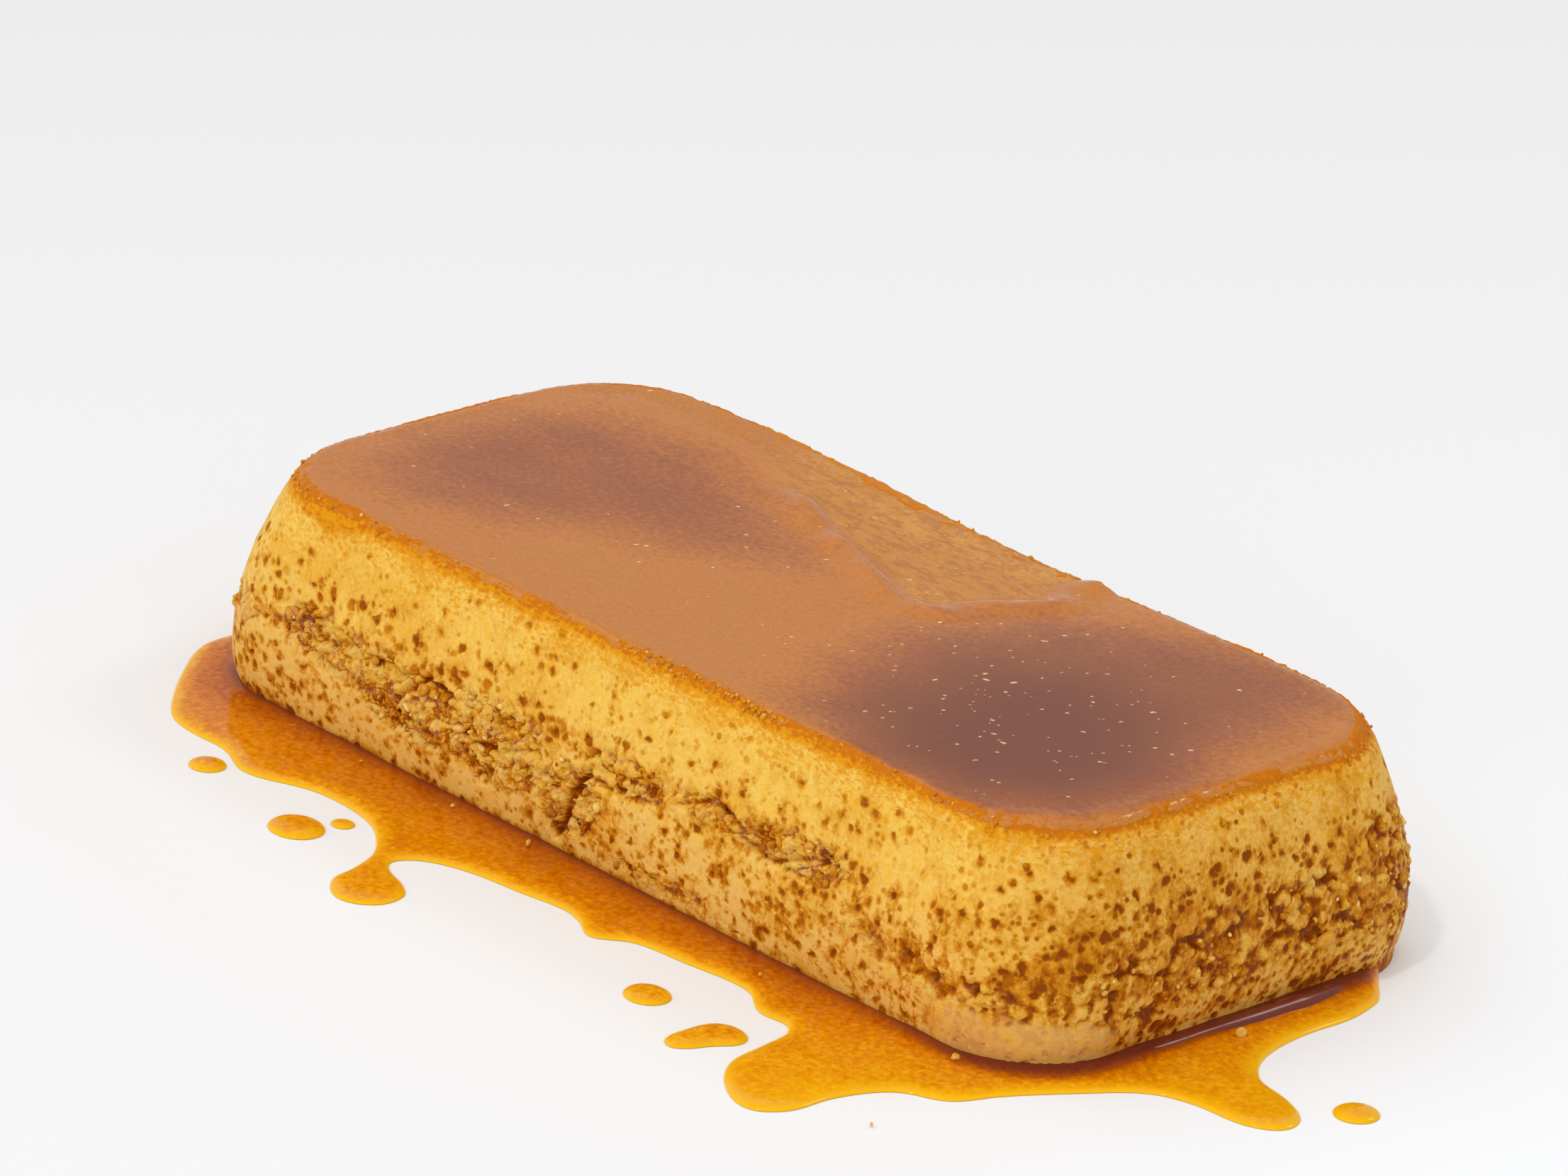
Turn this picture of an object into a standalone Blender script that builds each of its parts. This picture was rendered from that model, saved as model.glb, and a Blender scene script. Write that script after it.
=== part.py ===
"""A caramel pudding turned out of a loaf tin, with the caramel that ran off it.

Metres, +Z up. The origin is the middle of the custard's flat foot. X runs along
the loaf, and most of the spilt caramel lies towards -Y and +X.
"""

import math

import bmesh
import bpy
from mathutils import Vector, geometry, noise

# The loaf, at its widest.
HALF_LENGTH = 0.100
HALF_WIDTH = 0.0474
HEIGHT = 0.0384

# Corner radii seen from above: the tin's rim left the foot, its floor left the top.
FOOT_RADIUS = 0.0168
TOP_RADIUS = 0.0219

# The wall's lean, from foot to top: share of the height, set-in of the ends, of the sides.
WALL = (
    (0.00, 0.0034, 0.0016),
    (0.05, 0.0014, 0.0010),
    (0.12, 0.0001, 0.0007),
    (0.25, 0.0000, 0.0003),
    (0.40, 0.0000, 0.0003),
    (0.60, 0.0010, 0.0016),
    (0.80, 0.0031, 0.0033),
    (0.90, 0.0047, 0.0040),
    (0.96, 0.0061, 0.0046),
    (1.00, 0.0077, 0.0056),
)
TOP_CUTS = (12, 6)
LEVELS = 13
LONG_STEPS = 40
SHORT_STEPS = 16
CORNER_STEPS = 9

# Where the warm custard sagged: the far rim dips in the middle and stands up at its left.
SAG_DEPTH = 0.0012
SAG_AT = Vector((0.008, 0.040))
SWELL_HEIGHT = 0.0008
SWELL_AT = Vector((-0.060, 0.040))
SAG_REACH = 0.030
SWAY = 0.0004
SWAY_SCALE = 22.0

# The torn band, where the curd clung to the tin.
TORN_HEIGHT = 0.016
TORN_REACH = 0.0075
TORN_DEPTH = 0.0010
TORN_SCALE = 130.0

# The spilt caramel: its outline on the plate, anticlockwise from the left end.
PUDDLE_OUTLINE = (
    (-0.1070, -0.0300),
    (-0.1062, -0.0380),
    (-0.1000, -0.0470),
    (-0.0920, -0.0560),
    (-0.0850, -0.0618),
    (-0.0780, -0.0632),
    (-0.0700, -0.0632),
    (-0.0610, -0.0666),
    (-0.0500, -0.0622),
    (-0.0420, -0.0616),
    (-0.0340, -0.0630),
    (-0.0285, -0.0664),
    (-0.0245, -0.0706),
    (-0.0220, -0.0770),
    (-0.0206, -0.0825),
    (-0.0145, -0.0864),
    (-0.0092, -0.0830),
    (-0.0092, -0.0772),
    (-0.0130, -0.0742),
    (-0.0185, -0.0722),
    (-0.0206, -0.0694),
    (-0.0175, -0.0650),
    (-0.0100, -0.0620),
    (0.0000, -0.0606),
    (0.0085, -0.0592),
    (0.0135, -0.0604),
    (0.0185, -0.0628),
    (0.0240, -0.0584),
    (0.0340, -0.0570),
    (0.0470, -0.0556),
    (0.0540, -0.0598),
    (0.0612, -0.0598),
    (0.0634, -0.0680),
    (0.0650, -0.0760),
    (0.0710, -0.0825),
    (0.0785, -0.0850),
    (0.0828, -0.0800),
    (0.0832, -0.0715),
    (0.0868, -0.0620),
    (0.0940, -0.0575),
    (0.0972, -0.0495),
    (0.1030, -0.0390),
    (0.1090, -0.0300),
    (0.1160, -0.0268),
    (0.1250, -0.0258),
    (0.1300, -0.0220),
    (0.1290, -0.0170),
    (0.1230, -0.0136),
    (0.1150, -0.0116),
    (0.1100, -0.0050),
    (0.1078, 0.0060),
    (0.1078, 0.0170),
    (0.1050, 0.0270),
    (0.1010, 0.0370),
    (0.0910, 0.0460),
    (0.0750, 0.0505),
    (0.0450, 0.0520),
    (0.0100, 0.0535),
    (-0.0300, 0.0522),
    (-0.0700, 0.0520),
    (-0.0880, 0.0490),
    (-0.1000, 0.0400),
    (-0.1060, 0.0260),
    (-0.1052, 0.0050),
    (-0.1068, -0.0140),
)
OUTLINE_STEPS = 4
FOOT_GAP = 0.0003

# The rounded edge of spilt caramel, from the plate up: set-in, rise.
PUDDLE_EDGE = ((0.0, 0.0004), (0.0004, 0.0004), (0.0008, 0.0003))

# Drops that lie by themselves: centre, half-sizes along X and Y, height. One more is long.
ROUND_DROPS = (
    ((-0.0667, -0.0696), (0.00325, 0.0032), 0.0012),
    ((-0.0393, -0.0739), (0.00500, 0.0046), 0.0014),
    ((-0.0363, -0.0667), (0.00210, 0.0020), 0.0009),
    ((0.0397, -0.0699), (0.00405, 0.0038), 0.0013),
    ((0.1322, -0.0082), (0.00370, 0.0038), 0.0013),
)
LONG_DROP_OUTLINE = (
    (0.0530, -0.0690),
    (0.0560, -0.0666),
    (0.0600, -0.0674),
    (0.0612, -0.0704),
    (0.0592, -0.0742),
    (0.0578, -0.0778),
    (0.0556, -0.0799),
    (0.0530, -0.0784),
    (0.0524, -0.0740),
)
DROP_SEGMENTS = 20
DROP_RINGS = 4

# Finishes: colour, roughness.
CUSTARD_FINISH = ((0.80, 0.44, 0.07), 0.45)
CARAMEL_FINISH = ((0.66, 0.25, 0.015), 0.10)


def clear_scene():
    for item in list(bpy.data.objects):
        bpy.data.objects.remove(item, do_unlink=True)


def finish(name, colour, roughness):
    material = bpy.data.materials.new(name)
    material.use_nodes = True
    shader = material.node_tree.nodes["Principled BSDF"]
    shader.inputs["Base Color"].default_value = (*colour, 1.0)
    shader.inputs["Roughness"].default_value = roughness
    shader.inputs["Metallic"].default_value = 0.0
    return material


def add_object(name, bm, material):
    """An object of its own from a closed bmesh, smooth but for its sharp edges."""
    bmesh.ops.recalc_face_normals(bm, faces=bm.faces)
    mesh = bpy.data.meshes.new(name)
    bm.to_mesh(mesh)
    bm.free()
    mesh.materials.append(material)
    mesh.shade_smooth()
    mesh.set_sharp_from_angle(angle=math.radians(50))
    item = bpy.data.objects.new(name, mesh)
    bpy.context.collection.objects.link(item)
    return item


def wall_set_in(share):
    """Set-in of the ends and of the sides at a share of the height."""
    for low, high in zip(WALL, WALL[1:]):
        if share <= high[0]:
            part = (share - low[0]) / (high[0] - low[0])
            return tuple(a + (b - a) * part for a, b in zip(low[1:], high[1:]))
    return WALL[-1][1:]


def rounded_rectangle(half_length, half_width, radius):
    """Points round a rounded rectangle, with as many on each stretch at every size."""
    points = []
    corners = (
        (half_length - radius, half_width - radius, 0.0, LONG_STEPS),
        (radius - half_length, half_width - radius, 90.0, SHORT_STEPS),
        (radius - half_length, radius - half_width, 180.0, LONG_STEPS),
        (half_length - radius, radius - half_width, 270.0, SHORT_STEPS),
    )
    for index, (x, y, start, steps) in enumerate(corners):
        for step in range(CORNER_STEPS + 1):
            angle = math.radians(start + 90.0 * step / CORNER_STEPS)
            points.append(Vector((x + radius * math.cos(angle), y + radius * math.sin(angle))))
        following = corners[(index + 1) % len(corners)]
        angle = math.radians(following[2])
        turn = Vector((math.cos(angle), math.sin(angle))) * radius
        end = Vector(following[:2]) + turn
        begin = points[-1]
        points += [begin.lerp(end, step / steps) for step in range(1, steps)]
    return points


def loaf_section(share, grow=0.0):
    """The loaf seen from above at a share of its height, grown by a little all round."""
    ends, sides = wall_set_in(share)
    radius = FOOT_RADIUS + (TOP_RADIUS - FOOT_RADIUS) * share
    return rounded_rectangle(HALF_LENGTH - ends + grow, HALF_WIDTH - sides + grow, radius + grow)


def uneven(point):
    """The point moved to where sagging, swaying and tearing left it. The foot stays flat."""
    share = point.z / HEIGHT
    flat = point.xy
    sag = SAG_DEPTH * math.exp(-(((flat - SAG_AT).length / SAG_REACH) ** 2))
    swell = SWELL_HEIGHT * math.exp(-(((flat - SWELL_AT).length / SAG_REACH) ** 2))
    outward = Vector((flat.x / HALF_LENGTH**2, flat.y / HALF_WIDTH**2, 0.0)).normalized()
    sway = SWAY * noise.noise(point * SWAY_SCALE)
    band = math.exp(-(((point.z - TORN_HEIGHT) / TORN_REACH) ** 2))
    torn = TORN_DEPTH * band * min(0.0, noise.noise(point * TORN_SCALE))
    lift = min(1.0, 4.0 * share)
    return point + outward * (sway + torn) * lift + Vector((0.0, 0.0, (swell - sag) * share))


def lofted(rings):
    """A closed solid through rings of as many points each, and the face that closes its top."""
    bm = bmesh.new()
    loops = []
    for points in rings:
        verts = [bm.verts.new(point) for point in points]
        loops.append([bm.edges.new(pair) for pair in zip(verts, verts[1:] + verts[:1])])
    for low, high in zip(loops, loops[1:]):
        bmesh.ops.bridge_loops(bm, edges=low + high)
    bmesh.ops.contextual_create(bm, geom=loops[0])
    top = bmesh.ops.contextual_create(bm, geom=loops[-1])["faces"]
    return bm, top


def cut_into_grid(bm, faces, cuts):
    """Cuts flat faces along and across, so that they can sag."""
    for axis, (half, count) in enumerate(zip((HALF_LENGTH, HALF_WIDTH), cuts)):
        normal = Vector((0.0, 0.0, 0.0))
        normal[axis] = 1.0
        for step in range(1, count):
            edges = {edge for face in faces for edge in face.edges}
            verts = {vert for face in faces for vert in face.verts}
            place = normal * half * (2.0 * step / count - 1.0)
            cut = bmesh.ops.bisect_plane(
                bm, geom=[*faces, *edges, *verts], plane_co=place, plane_no=normal
            )
            faces = [item for item in cut["geom"] if isinstance(item, bmesh.types.BMFace)]


def custard(material):
    rings = []
    for level in range(LEVELS):
        step = level / (LEVELS - 1)
        share = step * step * (3.0 - 2.0 * step)
        rings.append([Vector((*p, share * HEIGHT)) for p in loaf_section(share)])
    bm, top = lofted(rings)
    cut_into_grid(bm, top, TOP_CUTS)
    for vert in bm.verts:
        vert.co = uneven(vert.co)
    return add_object("custard", bm, material)


def smooth_outline(points):
    """A closed smooth curve through the points, each with a handle along its neighbours."""
    count = len(points)
    knots = [Vector((*point, 0.0)) for point in points]
    outline = []
    for index, start in enumerate(knots):
        end = knots[(index + 1) % count]
        before = (end - knots[index - 1]).normalized()
        after = (knots[(index + 2) % count] - start).normalized()
        reach = (end - start).length / 3.0
        curve = geometry.interpolate_bezier(
            start, start + before * reach, end - after * reach, end, OUTLINE_STEPS + 1
        )
        outline += curve[:-1]
    return outline


def pool(outline, edge):
    """A shallow pool: its outline drawn up from the plate in steps of set-in and rise."""
    bm = bmesh.new()
    foot = bm.faces.new([bm.verts.new(point) for point in smooth_outline(outline)])
    top = bmesh.ops.extrude_face_region(bm, geom=[foot], use_keep_orig=True)["geom"]
    verts = [item for item in top if isinstance(item, bmesh.types.BMVert)]
    faces = [item for item in top if isinstance(item, bmesh.types.BMFace)]
    bmesh.ops.translate(bm, verts=verts, vec=(0.0, 0.0, edge[0][1]))
    bmesh.ops.recalc_face_normals(bm, faces=bm.faces)
    for set_in, rise in edge[1:]:
        bmesh.ops.inset_region(bm, faces=faces, thickness=set_in, depth=rise, use_even_offset=True)
    return bm


def foot_cutter(height):
    """The loaf's foot and a small gap round it, as high as the puddle and a little more."""
    shares = ((-height, 0.0), (0.0, 0.0), (height, height / HEIGHT), (2.0 * height, height / HEIGHT))
    rings = [[Vector((*p, z)) for p in loaf_section(share, FOOT_GAP)] for z, share in shares]
    bm, _ = lofted(rings)
    bmesh.ops.recalc_face_normals(bm, faces=bm.faces)
    mesh = bpy.data.meshes.new("foot_cutter")
    bm.to_mesh(mesh)
    bm.free()
    cutter = bpy.data.objects.new("foot_cutter", mesh)
    bpy.context.collection.objects.link(cutter)
    cutter.hide_render = True
    cutter.display_type = "WIRE"
    return cutter


def puddle(material):
    item = add_object("caramel_puddle", pool(PUDDLE_OUTLINE, PUDDLE_EDGE), material)
    cut = item.modifiers.new("round the foot", "BOOLEAN")
    cut.operation = "DIFFERENCE"
    cut.object = foot_cutter(sum(rise for _, rise in PUDDLE_EDGE))
    return item


def round_drop(name, centre, half_sizes, height, material):
    """A low cap cut from a ball, as flat as a sticky drop lies."""
    reach = max(half_sizes)
    radius = (reach**2 + height**2) / (2.0 * height)
    cap_angle = math.asin(reach / radius)
    bm = bmesh.new()
    bmesh.ops.create_uvsphere(
        bm,
        u_segments=DROP_SEGMENTS,
        v_segments=round(DROP_RINGS * math.pi / cap_angle),
        radius=radius,
    )
    bmesh.ops.translate(bm, verts=bm.verts, vec=(0.0, 0.0, height - radius))
    everything = bm.verts[:] + bm.edges[:] + bm.faces[:]
    cut = bmesh.ops.bisect_plane(bm, geom=everything, plane_no=(0.0, 0.0, 1.0), clear_inner=True)
    rim = [item for item in cut["geom_cut"] if isinstance(item, bmesh.types.BMEdge)]
    bmesh.ops.contextual_create(bm, geom=rim)
    bmesh.ops.scale(bm, verts=bm.verts, vec=(half_sizes[0] / reach, half_sizes[1] / reach, 1.0))
    bmesh.ops.translate(bm, verts=bm.verts, vec=(*centre, 0.0))
    return add_object(name, bm, material)


def main():
    clear_scene()
    custard(finish("baked custard", *CUSTARD_FINISH))
    puddle(finish("spilt caramel", *CARAMEL_FINISH))
    for number, (centre, half_sizes, height) in enumerate(ROUND_DROPS, start=1):
        name = f"caramel_drop_{number}"
        round_drop(name, centre, half_sizes, height, finish(name, *CARAMEL_FINISH))
    name = f"caramel_drop_{len(ROUND_DROPS) + 1}"
    add_object(name, pool(LONG_DROP_OUTLINE, PUDDLE_EDGE), finish(name, *CARAMEL_FINISH))


main()
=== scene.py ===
"""A loaf of caramel pudding: the torn, pitted custard, the caramel on its top, the spill round its foot and the
crumbs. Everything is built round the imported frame, in metres."""

import math
import random

import bmesh
import bpy
import numpy as np
from bpy.props import FloatProperty, FloatVectorProperty, IntProperty, PointerProperty
from mathutils import Matrix, Vector, noise
from mathutils.bvhtree import BVHTree


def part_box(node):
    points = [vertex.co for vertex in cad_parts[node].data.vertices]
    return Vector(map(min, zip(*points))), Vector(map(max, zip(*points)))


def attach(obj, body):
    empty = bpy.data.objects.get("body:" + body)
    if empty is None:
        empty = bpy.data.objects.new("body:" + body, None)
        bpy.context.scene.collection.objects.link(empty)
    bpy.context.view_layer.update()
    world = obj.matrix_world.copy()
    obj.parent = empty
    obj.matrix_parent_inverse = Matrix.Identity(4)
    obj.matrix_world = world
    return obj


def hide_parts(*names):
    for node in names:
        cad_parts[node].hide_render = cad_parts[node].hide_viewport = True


bl_info = {
    "name": "Caramel Pudding",
    "version": (1, 0, 0),
    "blender": (4, 5, 0),
    "location": "View3D > Sidebar > Pudding",
    "description": "Builds a loaf of caramel pudding with its caramel top, spill and crumbs",
    "category": "Object",
}

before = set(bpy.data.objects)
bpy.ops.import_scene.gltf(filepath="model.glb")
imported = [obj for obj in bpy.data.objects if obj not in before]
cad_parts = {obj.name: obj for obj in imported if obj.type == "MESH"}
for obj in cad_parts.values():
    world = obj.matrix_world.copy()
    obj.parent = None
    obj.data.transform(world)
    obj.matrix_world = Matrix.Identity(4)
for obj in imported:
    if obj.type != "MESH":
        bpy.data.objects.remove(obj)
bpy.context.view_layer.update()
MM = 0.001

# The loaf is followed from an inner block, out to the custard along the block's own directions.
CORE_LENGTH = 78.0 * MM
CORE_WIDTH = 25.4 * MM
CORE_RADIUS = 21.5 * MM
WALL_RINGS = 63
RIM_RINGS = 20
RIM_START = 33.4 * MM
RIM_REACH = 5.0 * MM
CAP_HEIGHT = 36.4 * MM
FOOT_RING = 9
UNDERCUT = 0.9 * MM

# Where the wall is torn: centre, how far it reaches along the wall and up it, in mm, and how badly.
TEARS = (
    ((-88, -40, 15), 12, 6.0, 0.55), ((-66, -47, 17), 14, 5.5, 0.8), ((-45, -47, 14), 16, 7.5, 1.0),
    ((-24, -47, 14), 14, 8.5, 1.0), ((-6, -47, 11), 9, 7.5, 1.0), ((8, -47, 19), 12, 3.5, 0.8),
    ((28, -47, 20), 12, 3.0, 0.7), ((46, -46, 20), 13, 4.5, 0.8), ((16, -46, 4), 16, 2.5, 0.7),
    ((66, -45, 13), 13, 5.0, 0.5), ((84, -40, 11), 13, 4.5, 1.0), ((96, -26, 12), 14, 7.0, 1.0),
    ((99, -6, 14), 16, 7.5, 1.0), ((99, 14, 15), 16, 9.0, 1.0), ((95, 33, 17), 15, 12.0, 1.0),
    ((70, 46, 14), 20, 6.0, 0.8), ((30, 47, 16), 22, 6.0, 0.8), ((-15, 47, 13), 20, 7.0, 1.0),
    ((-60, 46, 16), 20, 6.0, 0.8), ((-98, 20, 13), 18, 7.0, 0.9), ((-99, -12, 15), 16, 7.0, 0.9),
)
# Splits in the near wall, as points along it and up it in mm, with each one's width and depth.
SPLITS = (
    (((-2.4, 16.3), (-4.0, 13.0), (-5.5, 10.6), (-6.5, 7.0), (-8.0, 4.1)), 1.3, 2.2),
    (((-2.4, 16.3), (3.1, 15.7), (8.9, 17.3)), 0.8, 1.1),
    (((-33, 14), (-28, 12.6), (-23, 13)), 1.0, 1.3),
    (((-21, 13.5), (-17, 15.2), (-13, 15.5)), 0.8, 1.0),
    (((19, 19), (26, 22), (32, 20), (40.6, 17), (49, 20.6), (54, 21)), 0.9, 1.2),
    (((-47, 13.5), (-41, 19), (-33.5, 17.7)), 1.0, 1.3),
    (((-72, 20), (-66, 16.5), (-60, 18)), 0.9, 1.0),
)
# Thick caramel lies in these two hollows of the top, in mm.
LEFT_POOL = ((-81, -25), (-86, -9), (-85, 6), (-75, 21), (-53, 26), (-38, 19), (-20, 12), (-10, 4), (-22, -4),
             (-39, -12), (-51, -24), (-66, -30))
RIGHT_POOL = ((35, -37), (26, -21), (21, -1), (29, 23), (50, 38), (69, 42), (79, 36), (83, 16), (86, -15),
              (76, -36), (57, -40))
DARK_CORE = ((44, -25), (41, -2), (51, 10), (68, 7), (84, -9), (84, -27), (71, -37), (55, -36))
# The caramel's lip, past which the top is nearly dry out to the far edge.
LIP = ((-62, 38), (-50, 29), (-39, 25), (-30, 26.5), (-18, 21), (-4, 16), (6, 12), (11, 10.6), (15, 13), (17.5, 22),
       (22, 28.8), (18.5, 36), (19, 48))


class Value:
    """One socket of a node tree. Sums on it add Math nodes to the tree."""

    def __init__(self, recipe, socket):
        self.recipe = recipe
        self.socket = socket

    def sum(self, operation, *terms):
        return self.recipe.add("ShaderNodeMath", {"operation": operation}, dict(enumerate(terms)))

    def __add__(self, other):
        return self.sum("ADD", self, other)

    def __sub__(self, other):
        return self.sum("SUBTRACT", self, other)

    def __rsub__(self, other):
        return self.sum("SUBTRACT", other, self)

    def __mul__(self, other):
        return self.sum("MULTIPLY", self, other)

    def __truediv__(self, other):
        return self.sum("DIVIDE", self, other)

    def __pow__(self, other):
        return self.sum("POWER", self, other)

    __radd__ = __add__
    __rmul__ = __mul__

    def least(self, other):
        return self.sum("MINIMUM", self, other)

    def most(self, other):
        return self.sum("MAXIMUM", self, other)

    def step(self, low, high, start=0.0, end=1.0):
        """A soft step from start to end as the value goes from low to high."""
        return self.recipe.add(
            "ShaderNodeMapRange", {"interpolation_type": "SMOOTHSTEP"},
            {"Value": self, "From Min": low, "From Max": high, "To Min": start, "To Max": end})

    def output(self, name):
        """Another output of the same node."""
        return Value(self.recipe, self.socket.node.outputs[name])


class Recipe:
    """Adds nodes to a shader or a geometry tree."""

    def __init__(self, tree):
        self.tree = tree

    def add(self, kind, settings, inputs, output=0):
        node = self.tree.nodes.new(kind)
        for name, value in settings.items():
            if name == "stops":
                for number, (place, colour) in enumerate(value):
                    elements = node.color_ramp.elements
                    stop = elements[number] if number < 2 else elements.new(place)
                    stop.position, stop.color = place, (*colour, 1)
            else:
                setattr(node, name, value)
        for name, value in inputs.items():
            if isinstance(value, Value):
                self.tree.links.new(value.socket, node.inputs[name])
            else:
                node.inputs[name].default_value = value
        return Value(self, node.outputs[output]) if node.outputs else node

    def vector(self, operation, *terms, **named):
        inputs = dict(enumerate(terms))
        inputs.update(named)
        return self.add("ShaderNodeVectorMath", {"operation": operation}, inputs)

    def parts(self, point):
        split = self.add("ShaderNodeSeparateXYZ", {}, {0: point})
        return split, split.output("Y"), split.output("Z")

    def noise(self, point, scale, detail=2.0, roughness=0.5):
        return self.add("ShaderNodeTexNoise", {}, {"Vector": point, "Scale": scale, "Detail": detail,
                                                   "Roughness": roughness})

    def cells(self, point, scale, feature="F1", **inputs):
        return self.add("ShaderNodeTexVoronoi", {"feature": feature}, {"Vector": point, "Scale": scale, **inputs})

    def mix(self, share, first, second, blend="MIX"):
        def colour(value):
            return value if isinstance(value, Value) else (*value, 1)
        return self.add("ShaderNodeMix", {"data_type": "RGBA", "blend_type": blend},
                        {0: share, 6: colour(first), 7: colour(second)}, 2)

    def ramp(self, value, *stops):
        return self.add("ShaderNodeValToRGB", {"stops": stops}, {0: value})

    def attribute(self, name, output="Fac"):
        return self.add("ShaderNodeAttribute", {"attribute_name": name}, {}, output)


def new_material(name):
    """A material, the recipe for its nodes and its Principled shader."""
    material = bpy.data.materials.new(name)
    material.use_nodes = True
    recipe = Recipe(material.node_tree)
    shader = material.node_tree.nodes["Principled BSDF"]
    return material, recipe, shader


def connect(recipe, shader, **inputs):
    """Sets a shader's sockets: values go on the socket itself, and the rest is linked."""
    for name, value in inputs.items():
        socket = shader.inputs[name.replace("_", " ")]
        if isinstance(value, Value):
            recipe.tree.links.new(value.socket, socket)
        else:
            socket.default_value = value


def add_piece(bm, name, material, nodes=(), smooth=True):
    """Makes a piece of the object from a bmesh."""
    mesh = bpy.data.meshes.new(name)
    bm.to_mesh(mesh)
    bm.free()
    mesh.materials.append(material)
    if smooth:
        mesh.shade_smooth()
    piece = bpy.data.objects.new(name, mesh)
    bpy.context.scene.collection.objects.link(piece)
    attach(piece, "root")
    if nodes:
        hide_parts(*nodes)
    return piece


def cad_copy(node):
    """A bmesh of a CAD node, with its loose triangles joined."""
    bm = bmesh.new()
    bm.from_mesh(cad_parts[node].data)
    bmesh.ops.remove_doubles(bm, verts=bm.verts, dist=1e-6)
    return bm


def from_line(points, line):
    """Each point's distance from a line of straight stretches."""
    line = np.array(line, float)
    best = np.full(len(points), 1e9)
    for start, end in zip(line[:-1], line[1:]):
        step = end - start
        share = np.clip(((points - start) @ step) / (step @ step), 0, 1)
        best = np.minimum(best, np.linalg.norm(points - start - share[:, None] * step, axis=1))
    return best


def within(points, outline):
    """Each point's depth inside a closed outline, negative outside it."""
    outline = np.array(outline, float)
    x, y = points.T
    odd = np.zeros(len(points), bool)
    for (ax, ay), (bx, by) in zip(outline, np.roll(outline, -1, 0)):
        if ay != by:
            odd ^= ((ay > y) != (by > y)) & (x < (bx - ax) * (y - ay) / (by - ay) + ax)
    return from_line(points, np.vstack((outline, outline[:1]))) * np.where(odd, 1, -1)


def soft_step(value, low, high):
    share = np.clip((value - low) / (high - low), 0, 1)
    return share * share * (3 - 2 * share)


def store(bm, name, values):
    """Keeps a number for each vertex."""
    layer = bm.verts.layers.float.new(name)
    for vertex, value in zip(bm.verts, values):
        vertex[layer] = value
    return layer


def places(bm):
    return np.array([vertex.co for vertex in bm.verts])


def round_block(distance):
    """Points on the inner block's outline at these distances round it, and the outward directions there."""
    quarter = math.pi / 2 * CORE_RADIUS
    stretches = [2 * CORE_WIDTH, quarter, 2 * CORE_LENGTH, quarter] * 2
    marks = np.concatenate(([0], np.cumsum(stretches)))
    x = np.interp(distance, marks, [CORE_LENGTH] * 3 + [-CORE_LENGTH] * 4 + [CORE_LENGTH] * 2)
    y = np.interp(distance, marks, [-CORE_WIDTH] + [CORE_WIDTH] * 4 + [-CORE_WIDTH] * 4)
    angle = np.interp(distance, marks, np.radians([0, 0, 90, 90, 180, 180, 270, 270, 360]))
    return np.stack((x, y), 1), np.stack((np.cos(angle), np.sin(angle)), 1)


def block_length():
    return 4 * (CORE_LENGTH + CORE_WIDTH) + 2 * math.pi * CORE_RADIUS


def reach(tree, origin, direction):
    """How far the custard's surface is from a point inside it."""
    hit = tree.ray_cast(Vector(origin), Vector(direction))[3]
    if hit is None:
        raise RuntimeError(f"no custard from {tuple(origin)} towards {tuple(direction)}")
    return hit


def evened(values, passes, closed=True):
    """Smooths the flats of the frame's custard out of a row or a table, along its last axis."""
    for _ in range(passes):
        if closed:
            values = (np.roll(values, 1, -1) + values + np.roll(values, -1, -1)) / 3
        else:
            inner = (values[..., :-2] + values[..., 1:-1] + values[..., 2:]) / 3
            values = np.concatenate((values[..., :1], inner, values[..., -1:]), -1)
    return values


def loaf_rings(columns):
    """The custard's surface as a table of points: up the wall, round the rim and in onto the top."""
    source = cad_copy("custard")
    tree = BVHTree.FromBMesh(source)
    source.free()
    start, out = round_block(np.arange(columns) / columns * block_length())
    heights = np.linspace(0, RIM_START, WALL_RINGS)
    wall = np.array([[reach(tree, (*p, max(z, 0.05 * MM)), (*n, 0)) for p, n in zip(start, out)] for z in heights])
    wall = evened(wall, 24)
    wall[4:] = evened(wall[4:].T, 12, closed=False).T
    wall[:FOOT_RING] = np.maximum(wall[:FOOT_RING], wall[FOOT_RING] - UNDERCUT)
    pivot = wall[-1] - RIM_REACH
    angles = np.linspace(0, math.pi / 2, RIM_RINGS + 1)[1:]
    rim = []
    for angle in angles:
        flat, up = math.cos(angle), math.sin(angle)
        rim.append([reach(tree, (*(p + n * d), RIM_START), (*(n * flat), up))
                    for p, n, d in zip(start, out, pivot)])
    rim = evened(np.array(rim), 24)
    table = [np.column_stack((start + out * d[:, None], np.full(columns, z))) for d, z in zip(wall, heights)]
    for angle, row in zip(angles, rim):
        flat = pivot + row * math.cos(angle)
        table.append(np.column_stack((start + out * flat[:, None], RIM_START + row * math.sin(angle))))
    inner = pivot - 2 * MM
    table.append(np.column_stack((start + out * inner[:, None], np.full(columns, CAP_HEIGHT))))
    return np.array(table)


def tear_strength(points):
    """How torn the wall is at each point, from 0 to 1."""
    torn = np.zeros(len(points))
    for centre, along, up, strength in TEARS:
        away = points / MM - np.array(centre)
        share = np.hypot(np.hypot(away[:, 0], away[:, 1]) / along, away[:, 2] / up)
        torn = np.maximum(torn, strength * (1 - soft_step(share, 0.45, 1.25)))
    return torn


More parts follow.
